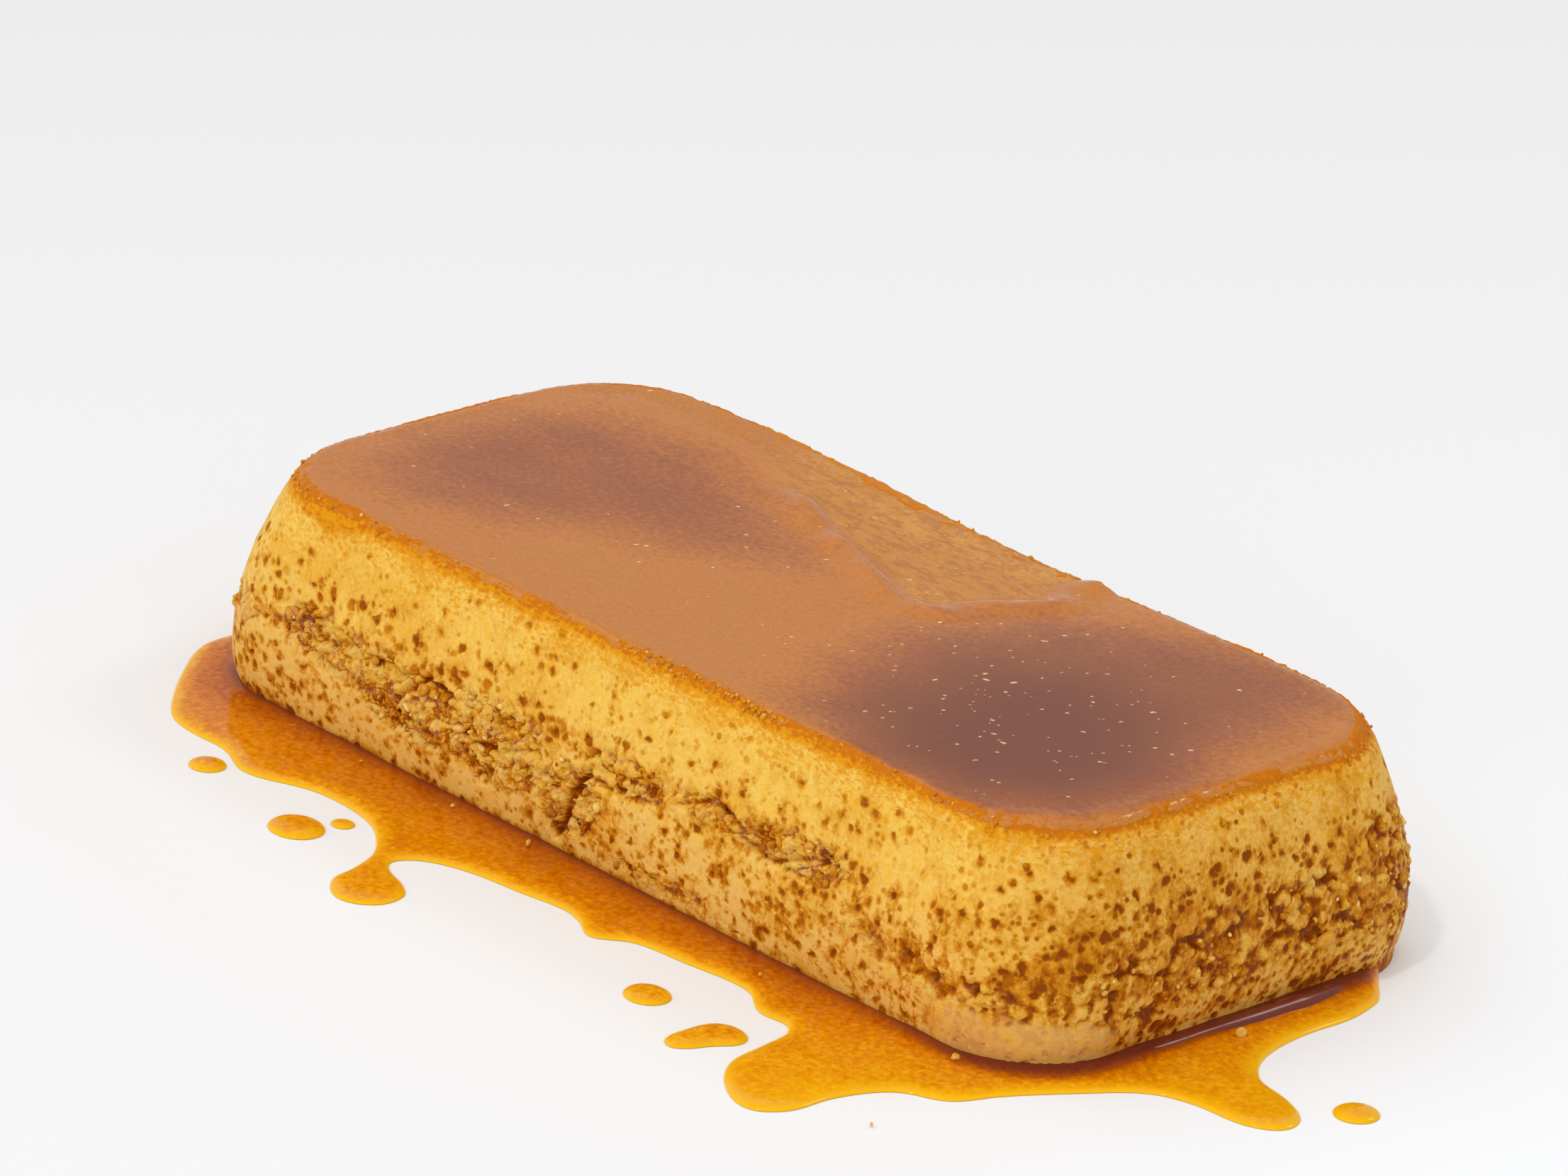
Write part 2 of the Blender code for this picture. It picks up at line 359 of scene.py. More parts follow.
def split_depth(points):
    """How deep the splits in the near wall are at each point, in mm."""
    flat = points[:, [0, 2]] / MM
    wander = np.array([noise.noise(Vector((x * 0.45, 3.0, z * 0.45))) for x, z in flat])
    depth = np.zeros(len(points))
    for line, width, deep in SPLITS:
        away = from_line(flat + wander[:, None] * np.array((0.9, 0.6)), line)
        depth = np.maximum(depth, deep * (1 - soft_step(away, 0, width)))
    return np.where(points[:, 1] < -30 * MM, depth, 0)


def custard_patterns(recipe, point, torn, below_rim):
    """What shapes and colours the custard alike: its holes, curds, crevices and ragged rim. The point is in mm."""
    x, y, z = recipe.parts(point)
    wobble = recipe.noise(point, 0.45, 3).output("Color")
    wobble = recipe.vector("SUBTRACT", wobble, (0.5, 0.5, 0.5))
    bent = recipe.vector("MULTIPLY_ADD", wobble, (2.4, 2.4, 2.4), point)
    round_foot = (z + (recipe.noise(point, 0.2, 3) - 0.5) * 8.0).step(9.5, 7.5) * y.step(-26, -32)
    lens = round_foot * x.step(75, 83)
    calm = recipe.noise(point, 0.21, 3, 0.6).step(0.56, 0.46) * x.step(72, 88)
    tear = (torn * 1.25 + (recipe.noise(point, 0.16, 4, 0.65) - 0.5) * 1.8).step(0.25, 0.85) * z.step(2.0, 5.0)
    tear = tear * (1.0 - calm * 0.7) * (1.0 - lens)
    swept = recipe.vector("SUBTRACT", recipe.noise(point, 0.17, 3, 0.6).output("Color"), (0.5, 0.5, 0.5))
    swept = recipe.vector("MULTIPLY_ADD", swept, (9, 9, 7), bent)
    swept = recipe.vector("MULTIPLY", swept, (0.20, 0.20, 0.36))
    plate_kind = recipe.parts(recipe.cells(swept, 1.0).output("Color"))
    plate = recipe.cells(swept, 1.0, "DISTANCE_TO_EDGE")
    chip = recipe.cells(swept, 2.3, "DISTANCE_TO_EDGE")
    curds = recipe.cells(recipe.vector("MULTIPLY", bent, (0.36, 0.36, 0.44)), 1.0)
    crumbs = recipe.cells(bent, 0.9)
    ball, crumb = 1.0 - curds * curds * 2.2, 1.0 - crumbs * crumbs * 2.2
    flake = plate.step(0.0, 0.30) * 0.7 + chip.step(0.0, 0.3) * 0.3 + (plate_kind[0] - 0.5) * 0.9
    balls = x.step(40, 85) * 0.75
    lump = flake + (ball * 1.3 - flake) * balls
    relief = plate.step(0.0, 0.13) * 0.42 + chip.step(0.0, 0.2) * 0.16 + (plate_kind[1] - 0.5) * 0.55
    relief = relief + (ball.step(-0.15, 0.7) * 0.95 - relief) * balls
    large = recipe.cells(bent, 0.42)
    large_kind = recipe.parts(large.output("Color"))
    crowd = z.step(37, 18, 0.12, 1.0) * z.step(0, 5, 0.5, 1.0) + x.step(-70, -88) * z.step(34, 24) * 0.4
    crowd = crowd + x.step(86, 97) * 0.08 - round_foot * x.step(60, 68) * 0.3
    crowd = crowd + (recipe.noise(point, 0.09, 3) - 0.5) * 1.3
    gap = large * 2.38 - (large_kind[1] * 0.42 + 0.40)
    small = recipe.cells(point, 0.66)
    small_kind = recipe.parts(small.output("Color"))
    pit = (small * 1.5 - small_kind[1] * 0.30 - 0.26).step(0.22, -0.18)
    shown = (crowd * 0.8 - large_kind[0]).step(0, 0.05)
    return {"z": z, "bent": bent, "tear": tear, "lump": lump, "crumb": crumb, "relief": relief, "lens": lens,
            "tint": recipe.parts(curds.output("Color")),
            "hole": gap.step(0.28, -0.26) * shown * (large_kind[2] * 0.5 + 0.5), "halo": gap.step(0.9, 0.0) * shown,
            "pit": pit * (crowd - small_kind[0]).step(0, 0.05) * (small_kind[2] * 0.7 + 0.3),
            "ragged": recipe.noise(point, 0.7, 3, 0.6)}


def shape_custard(piece):
    """Tears, pits and splits the custard's wall, and keeps where each point was as its rest attribute."""
    tree = bpy.data.node_groups.new("torn custard", "GeometryNodeTree")
    for way in ("INPUT", "OUTPUT"):
        tree.interface.new_socket("Geometry", in_out=way, socket_type="NodeSocketGeometry")
    recipe = Recipe(tree)
    position = recipe.add("GeometryNodeInputPosition", {}, {})
    point = recipe.vector("SCALE", position, Scale=1 / MM)

    def stored(name):
        return recipe.add("GeometryNodeInputNamedAttribute", {"data_type": "FLOAT"}, {"Name": name})
    torn, below_rim, split = stored("torn"), stored("below_rim"), stored("split")
    seen = custard_patterns(recipe, point, torn, below_rim)
    broad = recipe.noise(point, 0.06, 2) - 0.5
    height = (broad * 1.1
              + seen["tear"] * (seen["lump"] * 1.05 + seen["crumb"] * 0.4 - 0.75)
              - (1.0 - seen["tear"] * 0.7) * seen["hole"] * 0.2
              - split
              + (seen["ragged"] - 0.5) * below_rim.step(6.0, 1.0) * below_rim.step(-3.0, -0.5) * 0.9)
    height = height * below_rim.step(-4.0, -2.0) * seen["z"].step(0.0, 1.2)
    entry = recipe.add("NodeGroupInput", {}, {})
    kept = recipe.add("GeometryNodeStoreNamedAttribute", {"data_type": "FLOAT_VECTOR", "domain": "POINT"},
                      {"Geometry": entry, "Name": "rest", "Value": position})
    kept = recipe.add("GeometryNodeStoreNamedAttribute", {"data_type": "FLOAT", "domain": "POINT"},
                      {"Geometry": kept, "Name": "relief", "Value": height})
    offset = recipe.vector("SCALE", recipe.add("GeometryNodeInputNormal", {}, {}), Scale=height * MM)
    moved = recipe.add("GeometryNodeSetPosition", {}, {"Geometry": kept, "Offset": offset})
    recipe.add("NodeGroupOutput", {}, {0: moved})
    modifier = piece.modifiers.new("torn custard", "NODES")
    modifier.node_group = tree
    finished = piece.evaluated_get(bpy.context.evaluated_depsgraph_get())
    mesh = bpy.data.meshes.new_from_object(finished)
    piece.modifiers.clear()
    piece.data = mesh


def custard_material(settings):
    """Custard from dark crevices to pale cream, stained orange where the caramel has soaked in, with painted shade in
    the splits, along the foot and over the end wall.
    """
    material, recipe, shader = new_material("custard")
    point = recipe.vector("SCALE", recipe.attribute("rest", "Vector"), Scale=1 / MM)
    torn, below_rim = recipe.attribute("torn"), recipe.attribute("below_rim")
    split, stain = recipe.attribute("split"), recipe.attribute("stain")
    seen = custard_patterns(recipe, point, torn, below_rim)
    x, y, z = recipe.parts(point)
    low = z.step(30, 8)
    damp = x.step(84, 97) * (z - (y + 30) * 0.13).step(10, 2)
    cloud = recipe.noise(point, 0.10, 4, 0.6)
    mottle = recipe.noise(seen["bent"], 0.38, 4, 0.6)
    fine = recipe.noise(point, 1.5, 3, 0.6)
    tall = recipe.vector("MULTIPLY", seen["bent"], (0.6, 0.6, 0.09))
    streak = recipe.noise(tall, 1.0, 3).step(0.50, 0.66) * x.step(48, 75) * z.step(26, 16) * 0.35
    tone = (0.97 - cloud.step(0.44, 0.62) * (low * 0.12 + 0.15) - mottle.step(0.46, 0.66) * (low * 0.24 + 0.16)
            - (fine - 0.5) * 0.5 - streak)
    tone = tone - seen["halo"] * 0.24 - seen["pit"] * x.step(80, 92, 0.38, 0.6) - seen["hole"] * x.step(80, 92, 0.45, 0.7)
    # In the tears the tone follows the relief, dark in the crevices and pale on the lump tops: partly the custard's
    # own browner crevices, partly painted shade and painted light.
    torn_tone = (seen["relief"] * 1.3 + (fine - 0.5) * 0.6 + seen["crumb"] * 0.2
                 + (seen["tint"][0] - 0.5) * 0.35 - seen["hole"] * 0.35 + x.step(60, 90, 0.07, -0.07)
                 + x.step(-45, 5, 0.07, -0.04))
    tone = tone + (torn_tone - tone) * seen["tear"] * 0.85
    # Darker in the splits: painted shade in them. Darker along the foot, most from the middle leftwards: painted
    # contact shade.
    tone = tone - split.step(0.3, 1.5) * 0.7 - z.step(3.0, 0.6) * x.step(72, 40, 0.15, 0.5)
    # Darker over the end wall, most in its middle band: partly the custard's deeper amber there, partly painted shade
    # of the side turned from the key light.
    tone = tone - x.step(74, 98) * (z.step(7, 13) * z.step(36, 22, 0.5, 1.0) * 0.15 + 0.07)
    tone = tone + (0.61 - (mottle - 0.5) * 1.2 - tone) * seen["lens"] * 0.7
    colour = recipe.ramp(tone, (0.0, settings.crevice), (1.0, settings.cream), (0.25, settings.brown),
                         (0.5, settings.amber), (0.76, settings.yellow))
    # Beige low down is the custard's own colour; the beige over the end wall is partly that and partly painted shade,
    # dulling the side turned from the light.
    pale = (low * 0.6).most(x.step(80, 98) * 0.55) * tone.step(0.5, 1.0)
    colour = recipe.mix(pale.most(seen["lens"] * 0.5), colour, settings.beige)
    colour = recipe.mix(mottle.step(0.50, 0.40) * 0.5, colour, settings.clear, "MULTIPLY")
    colour = recipe.mix(recipe.noise(point, 0.9, 3, 0.7).step(0.60, 0.74) * tone.step(0.3, 0.6) * 0.6, colour,
                        settings.fleck)
    colour = recipe.mix(seen["tear"] * 0.75, colour, (1.0, 0.87, 0.40), "MULTIPLY")
    rows = recipe.cells(recipe.vector("MULTIPLY", seen["bent"], (0.55, 0.55, 1.0)), 1.0)
    grain = recipe.noise(recipe.vector("MULTIPLY", point, (0.9, 0.9, 1.6)), 1.0, 3, 0.65)
    sown = below_rim.step(12, 5) * (cloud * 0.5 + 0.5) - recipe.parts(rows.output("Color"))[0]
    colour = recipe.mix(rows.step(0.42, 0.22) * sown.step(0.0, 0.1) * 0.75, colour, settings.rim)
    colour = recipe.mix((grain - below_rim * 0.03).step(0.34, 0.48) * below_rim.step(12, 3) * 0.8, colour,
                        settings.rim)
    orange = recipe.mix((grain + below_rim.step(2.5, -0.5) * 0.22).step(0.44, 0.68), settings.rim, settings.soaked)
    edge = below_rim - seen["ragged"] * 3.0 - recipe.noise(point, 0.12, 2) * 1.6 + x.step(55, 85) * 1.1
    orange = recipe.mix(y.step(38, 43) * x.step(28, 16) * x.step(-70, -50) * 0.8, orange, (0.60, 0.25, 0.04))
    colour = recipe.mix(edge.step(1.2, -0.6).most(stain), colour, orange)
    dots = recipe.cells(seen["bent"], 0.62)
    dot = (dots * 1.6).step(0.72, 0.36) * below_rim.step(-0.2, 0.8) * below_rim.step(4.6, 2.0) * x.step(80, 92)
    colour = recipe.mix(dot, colour, settings.soaked)
    rough = 0.55 - seen["tear"] * 0.2 - fine * 0.1
    facets = recipe.cells(seen["bent"], 2.1)
    bump = (recipe.noise(point, 2.6, 4, 0.6) * 0.10 - seen["pit"] * 0.22 - seen["hole"] * 0.30
            + seen["tear"] * (seen["crumb"] * 0.3 - facets * 0.3))
    normal = recipe.add("ShaderNodeBump", {}, {"Height": bump, "Distance": MM, "Strength": 0.8})
    sheen = recipe.noise(point, 0.3, 2).step(0.45, 0.6)
    shine = sheen * (seen["tear"] * 0.6 * x.step(60, 90, 1.0, 0.4)).most(damp * 0.2)
    connect(recipe, shader, Base_Color=colour, Roughness=rough, Normal=normal, Coat_Weight=shine, Coat_Roughness=0.05,
            IOR=1.38, Specular_IOR_Level=0.06, Subsurface_Weight=0.12, Subsurface_Radius=(1.0, 0.5, 0.15),
            Subsurface_Scale=0.0015)
    return material


def caramel_material(name, stops, roughness, tint, cloudy, rippled, dry_colour=None):
    """Caramel, coloured by its depth attribute and its cloudy grain, rippled at its edge. Where it is dry it is rough.
    """
    material, recipe, shader = new_material(name)
    place = recipe.add("ShaderNodeTexCoord", {}, {}, "Object")
    point = recipe.vector("SCALE", place, Scale=1 / MM)
    depth = recipe.attribute("depth")
    drawn = recipe.vector("MULTIPLY", point, (0.06, 0.13, 0.1))
    swirl = recipe.noise(drawn, 1.0, 4, 0.6)
    grain = recipe.noise(point, 0.9, 4, 0.7)
    depth = depth + ((swirl - 0.5) * 0.22 + (grain - 0.5) * cloudy) * depth.step(0.0, 0.3) * depth.step(1.0, 0.6)
    colour = recipe.ramp(depth, *stops)
    rough = roughness + grain * 0.03 + depth.step(0.26, 0.14) * rippled
    bump = recipe.noise(point, 0.25, 2) * 0.02 + grain * depth.step(0.28, 0.10) * rippled
    if dry_colour:
        dry = recipe.attribute("dry")
        spread = recipe.add("ShaderNodeMapping", {}, {"Vector": point, "Scale": (0.20, 0.42, 1.0)})
        crust = recipe.noise(spread, 1.6, 4, 0.65)
        dried = recipe.mix(crust.step(0.44, 0.60) * 0.6, dry_colour, (0.43, 0.13, 0.012))
        far = recipe.parts(point)[1].step(22, 42)
        dried = recipe.mix((grain * 0.5 + swirl * 0.5 + far * 0.06).step(0.54, 0.61) * 0.6, dried, (0.78, 0.36, 0.055))
        colour = recipe.mix(dry, colour, dried)
        rough = rough + dry * 0.16
        bump = bump + dry * (crust * 0.6 + grain * 0.5)
    normal = recipe.add("ShaderNodeBump", {}, {"Height": bump, "Distance": MM, "Strength": 1.0})
    connect(recipe, shader, Base_Color=colour, Roughness=rough, Normal=normal, IOR=1.45, Specular_Tint=(*tint, 1))
    return material


def crumb_material():
    material, recipe, shader = new_material("crumb")
    place = recipe.add("ShaderNodeTexCoord", {}, {}, "Object")
    point = recipe.vector("SCALE", place, Scale=1 / MM)
    tint = recipe.attribute("tint")
    grain = recipe.noise(point, 1.1, 3, 0.6)
    colour = recipe.ramp(tint + (grain - 0.5) * 0.6, (0.0, (0.20, 0.045, 0.003)), (1.0, (0.90, 0.60, 0.17)),
                         (0.3, (0.46, 0.14, 0.006)), (0.55, (0.68, 0.28, 0.018)), (0.8, (0.82, 0.46, 0.08)))
    bump = recipe.noise(point, 2.4, 3, 0.6) * 0.25
    normal = recipe.add("ShaderNodeBump", {}, {"Height": bump, "Distance": MM, "Strength": 0.8})
    connect(recipe, shader, Base_Color=colour, Roughness=0.34 - grain * 0.12, Normal=normal, Coat_Weight=tint.step(0.55, 0.75, 0.0, 0.35),
            Coat_Roughness=0.06, IOR=1.38, Specular_IOR_Level=0.1)
    return material


def speck_material():
    material, recipe, shader = new_material("gold speck")
    place = recipe.add("ShaderNodeTexCoord", {}, {}, "Object")
    point = recipe.vector("SCALE", place, Scale=1 / MM)
    grain = recipe.noise(point, 0.8, 2)
    colour = recipe.mix(grain.step(0.4, 0.6), (0.62, 0.34, 0.13), (0.80, 0.58, 0.30))
    connect(recipe, shader, Base_Color=colour, Roughness=0.3 + grain * 0.2, IOR=1.45)
    return material


def grid_table(bm, columns, rows):
    """A flat grid of faces in the bmesh, with the column and row number of each vertex."""
    made = bmesh.ops.create_grid(bm, x_segments=columns, y_segments=rows, size=0.5)["verts"]
    flat = np.array([vertex.co for vertex in made])
    return made, np.rint((flat[:, 0] + 0.5) * columns).astype(int), np.rint((flat[:, 1] + 0.5) * rows).astype(int)


def build_custard(settings):
    """The loaf itself, torn and pitted."""
    columns = settings.columns
    rings = loaf_rings(columns)
    lengths = np.linalg.norm(np.diff(rings, axis=0), axis=2)
    climbed = np.vstack((np.zeros(columns), np.cumsum(lengths, 0)))
    crest = climbed[WALL_RINGS + int(RIM_RINGS * 0.62)]
    below_rim = (crest - climbed) / MM
    bm = bmesh.new()
    made, column, row = grid_table(bm, columns, len(rings) - 1)
    column = column % columns
    spots = rings[row, column]
    for vertex, spot in zip(made, spots):
        vertex.co = spot
    store(bm, "torn", tear_strength(spots))
    store(bm, "split", split_depth(spots))
    store(bm, "below_rim", below_rim[row, column])
    edge_stain = from_line(spots[:, [0, 2]] / MM, ((-79, 37.5), (-71, 36), (-63, 37.5)))
    rough_edge = np.array([noise.noise(Vector(spot) * 600) for spot in spots])
    store(bm, "stain", soft_step(-(edge_stain + rough_edge * 1.5), -2.6, -1.2) * (spots[:, 1] < -20 * MM))
    bmesh.ops.remove_doubles(bm, verts=bm.verts, dist=1e-6)
    bmesh.ops.holes_fill(bm, edges=[edge for edge in bm.edges if edge.is_boundary], sides=0)
    bmesh.ops.recalc_face_normals(bm, faces=bm.faces)
    piece = add_piece(bm, "custard_body", custard_material(settings), ["custard"])
    shape_custard(piece)
    return piece


def top_height(tree, spots):
    """The custard's height under each place."""
    heights = []
    for x, y in spots:
        hit = tree.ray_cast(Vector((x, y, 0.08)), Vector((0, 0, -1)))[0]
        if hit is None:
            raise RuntimeError(f"no custard under {x}, {y}")
        heights.append(hit.z)
    return np.array(heights)


def build_glaze(settings):
    """The caramel on the top: a closed film with a dry patch at the far edge."""
    source = cad_copy("custard")
    tree = BVHTree.FromBMesh(source)
    source.free()
    columns, rows = 204, 96
    bm = bmesh.new()
    made, column, row = grid_table(bm, columns, rows)
    wide, deep = CORE_LENGTH + CORE_RADIUS, CORE_WIDTH + CORE_RADIUS
    x, y = (column / columns * 2 - 1) * wide, (row / rows * 2 - 1) * deep
    start = np.stack((np.clip(x, -CORE_LENGTH, CORE_LENGTH), np.clip(y, -CORE_WIDTH, CORE_WIDTH)), 1)
    away = np.stack((x, y), 1) - start
    share = np.abs(away).max(1) / CORE_RADIUS
    length = np.linalg.norm(away, axis=1)
    out = away / np.maximum(length, 1e-9)[:, None]
    edge = np.zeros(len(made))
    for number in np.flatnonzero(share > 0):
        (sx, sy), (ox, oy) = start[number], out[number]
        wander = noise.fractal(Vector((sx + ox * 0.02, sy + oy * 0.02, 0)) * 300, 0.6, 2.0, 4)
        edge[number] = reach(tree, (sx, sy, 36.8 * MM), (ox, oy, 0)) + wander * 0.45 * MM
    spots = start + out * (share * (edge - settings.inset))[:, None]
    inner = (1 - share) * CORE_RADIUS / MM
    table = np.full((rows + 1, columns + 1), np.nan)
    table[row, column] = top_height(tree, spots)
    level = evened(evened(table, 60, closed=False).T, 60, closed=False).T
    close = evened(evened(table, 5, closed=False).T, 5, closed=False).T
    close, level = close[row, column], level[row, column]
    ground = close + (level - close) * soft_step(inner, 2, 10)
    flat = spots / MM
    dry_side = np.vstack((LIP, ((60, 80), (-90, 80))))
    lip = within(flat, dry_side)
    dry = soft_step(lip, 0.0, 1.6) * soft_step(flat[:, 0], -52, -30)
    fall = 2.6 + 1.6 * soft_step(flat[:, 0], -5, 8)
    ridge = soft_step(lip, -9, -2) * np.clip((0.6 - lip) / fall, 0, 1) * soft_step(flat[:, 0], -42, -28)
    ridge *= np.array([1 + noise.noise(Vector((px * 0.13, py * 0.13, 0))) for px, py in flat])
    coarse = np.array([noise.fractal(Vector((px * 0.25, py * 0.4, 5)), 0.8, 2.0, 4) for px, py in flat])
    film = settings.film / MM * (1 - np.exp(-inner / 1.2)) * (1 - 0.6 * dry) + 1.0 * ridge + 0.16 * dry * coarse
    far = soft_step(flat[:, 1], 20, 40) * soft_step(-flat[:, 0], 20, 60)
    pool = np.maximum(soft_step(within(flat, LEFT_POOL), -14, 14) * 0.48,
                      soft_step(within(flat, RIGHT_POOL), -14, 14) * 0.62)
    pool = pool + (1 - pool) * soft_step(within(flat, DARK_CORE), -15, 11) * 0.95
    depth = np.clip(0.28 + pool * 0.72, 0, 1) * (0.35 + 0.65 * soft_step(inner, 0, 2.6)) * (1 - 0.3 * far * (1 - pool))
    store(bm, "depth", depth)
    store(bm, "dry", dry)
    surface = store(bm, "surface", ground + film * MM)
    for vertex, (px, py), base in zip(bm.verts, spots, ground):
        vertex.co = (px, py, base - 2.2 * MM)
    lifted = bmesh.ops.extrude_face_region(bm, geom=bm.faces[:], use_keep_orig=True)["geom"]
    for vertex in lifted:
        if isinstance(vertex, bmesh.types.BMVert):
            vertex.co.z = vertex[surface]
    bm.verts.layers.float.remove(surface)
    bmesh.ops.recalc_face_normals(bm, faces=bm.faces)
    stops = ((0.0, settings.thin), (0.28, settings.middle), (0.62, settings.thick), (1.0, settings.darkest))
    return add_piece(bm, "caramel_glaze", caramel_material("caramel film", stops, 0.06, (1, 1, 1), 0.75, 0.4, (0.62, 0.235, 0.022)))


def foot_reach(tree, distance):
    """The inner block's outline at these distances round it, and how far from it the custard meets the table."""
    start, out = round_block(distance)
    away = np.array([reach(tree, (*p, 0.2 * MM), (*n, 0)) for p, n in zip(start, out)])
    return start, out, away


def foot_line(tree):
    """The custard's outline on the table, in mm."""
    start, out, away = foot_reach(tree, np.arange(240) / 240 * block_length())
    return (start + out * away[:, None]) / MM


def liquid_outline(node, foot):
    """A CAD liquid's outline on the table as one face, its corners rounded."""
    bm = cad_copy(node)
    bmesh.ops.delete(bm, geom=[face for face in bm.faces if face.normal.z > -0.9], context="FACES")
    rim = [edge for edge in bm.edges if edge.is_boundary]
    spots = np.array([vertex.co.xy / MM for edge in rim for vertex in edge.verts])
    at_foot = (np.abs(within(spots, foot)) < 1.2).reshape(-1, 2).all(1)
    if at_foot.any():
        bmesh.ops.holes_fill(bm, edges=[edge for edge, inner in zip(rim, at_foot) if inner], sides=0)
    bmesh.ops.dissolve_faces(bm, faces=bm.faces[:], use_verts=False)
    if len(bm.faces) != 1:
        raise RuntimeError(f"{node} has no single outline")
    bmesh.ops.subdivide_edges(bm, edges=bm.edges[:], cuts=2)
    for _ in range(5):
        bmesh.ops.smooth_vert(bm, verts=bm.verts, factor=0.5, use_axis_x=True, use_axis_y=True, use_axis_z=False)
    bmesh.ops.recalc_face_normals(bm, faces=bm.faces)
    bm.faces.ensure_lookup_table()
    if bm.faces[0].normal.z < 0:
        bmesh.ops.reverse_faces(bm, faces=bm.faces)
    return bm


def draw_in(bm, foot):
    """Brings a liquid's outline close to the foot round the far corner of the wet end."""
    spots = np.array([vertex.co.xy / MM for vertex in bm.verts])
    away = spots - np.clip(spots, (-CORE_LENGTH, -CORE_WIDTH), (CORE_LENGTH, CORE_WIDTH))
    clear = -within(spots, foot)
    share = soft_step(spots[:, 0], 60, 85) * soft_step(spots[:, 1], 24, 38)
    moved = np.maximum(clear - 1.0, 0) * share / np.maximum(np.linalg.norm(away, axis=1), 1e-9)
    for vertex, (x, y) in zip(bm.verts, spots - away * moved[:, None]):
        vertex.co.xy = x * MM, y * MM


def build_liquid(name, node, foot, body_foot, spacing, height, material):
    """A closed sheet of caramel on the table, rounded at its edge and climbing the custard's foot."""
    bm = liquid_outline(node, foot)
    draw_in(bm, foot)
    layer = bm.verts.layers.float.new("depth")
    bm.faces.ensure_lookup_table()
    outline = [vertex.co.xy / MM for vertex in bm.faces[0].verts]
    for inset in (0.25, 0.35, 0.5):
        middle = max(bm.faces, key=lambda face: face.calc_area())
        bmesh.ops.inset_region(bm, faces=[middle], thickness=inset * MM, depth=0, use_boundary=True,
                               use_even_offset=True)
    low = np.array([v.co.xy for v in bm.verts]).min(0)
    high = np.array([v.co.xy for v in bm.verts]).max(0)
    for axis, direction in enumerate(((1, 0, 0), (0, 1, 0))):
        for place in np.arange(low[axis] + spacing, high[axis], spacing):
            middle = [face for face in bm.faces if len(face.verts) > 4 or face.calc_area() > spacing ** 2 * 1.01]
            edges = {edge for face in middle for edge in face.edges}
            spot = [0, 0, 0]
            spot[axis] = place
            bmesh.ops.bisect_plane(bm, geom=[*middle, *edges, *{v for e in edges for v in e.verts}], dist=1e-6,
                                   plane_co=spot, plane_no=direction)
    bm.verts.index_update()
    under = within(np.array([vertex.co.xy / MM for vertex in bm.verts]), foot) > 2.5
    hidden = [face for face in bm.faces if all(under[vertex.index] for vertex in face.verts)]
    bmesh.ops.delete(bm, geom=hidden, context="FACES")
    lifted = bmesh.ops.extrude_face_region(bm, geom=bm.faces[:], use_keep_orig=True)["geom"]
    lifted = [item for item in lifted if isinstance(item, bmesh.types.BMVert)]
    flat = np.array([vertex.co.xy / MM for vertex in lifted])
    edge = np.maximum(within(flat, outline), 0)
    tall = height / MM * (1 - 0.9 * np.exp(-edge / 1.1))
    tall[edge < 0.01] = 0.02
    clear = np.maximum(-within(flat, body_foot), 0)
    tall = tall + 0.9 * np.exp(-clear / 0.9) * (edge > 0.01)
    # Darker near the loaf's foot: partly the thicker caramel against the wall, partly painted shade and reflection of
    # the wall; the sharp dark line right at the foot is painted contact shade.
    depth = 0.26 * (1 - np.exp(-edge / 1.1)) + 0.42 * np.exp(-clear / 9.0) * soft_step(edge, 0, 4)
    depth = depth * (1 - 0.4 * soft_step(flat[:, 0], 50, 85)) + 0.45 * np.exp(-clear / 1.2)
    at_end = soft_step(flat[:, 0], 62, 92) * soft_step(edge, 0, 2)
    tall = tall + 0.5 * at_end * (1 - soft_step(clear, 0.5, 3.0))
    depth = depth + 0.6 * at_end * (1 - soft_step(clear, 1.0, 4.0))
    for vertex, up, deep in zip(lifted, tall, depth):
        vertex.co.z = up * MM
        vertex[layer] = min(deep, 1.0)
    bmesh.ops.recalc_face_normals(bm, faces=bm.faces)
    return add_piece(bm, name, material, [node])


def scatter(name, material, grains, detail=2):
    """Joins many small lumps: each grain is a centre, three half sizes, a turn, a roughness and a tint."""
    bm = bmesh.new()
    layer = bm.verts.layers.float.new("tint")
    for centre, sizes, turn, ragged, tint in grains:
        place = Matrix.LocRotScale(centre, turn, sizes)
        made = bmesh.ops.create_icosphere(bm, subdivisions=detail, radius=1, matrix=place)["verts"]
        seed = Vector(centre) * 9000
        for vertex in made:
            push = noise.noise(seed + (vertex.co - Vector(centre)) * 900)
            vertex.co += (vertex.co - Vector(centre)) * push * ragged
            vertex[layer] = tint
    return add_piece(bm, name, material)


def random_turn(draw):
    return Matrix.Rotation(draw.uniform(0, math.tau), 3, Vector((draw.gauss(0, 1), draw.gauss(0, 1), draw.gauss(0, 1)))
                           ).to_quaternion()


def wall_spots(piece, wanted, draw, count):
    """Random places on the custard's surface, picked by a weight for each vertex, with the normals there."""
    mesh = piece.data
    weights = np.maximum(wanted, 0)
    total = np.cumsum(weights)
    picks = np.searchsorted(total, np.array([draw.random() for _ in range(count)]) * total[-1])
    return [(mesh.vertices[int(i)].co.copy(), mesh.vertices[int(i)].normal.copy()) for i in picks]


def vertex_values(mesh, name):
    values = np.zeros(len(mesh.vertices), np.float32)
    mesh.attributes[name].data.foreach_get("value", values)
    return values


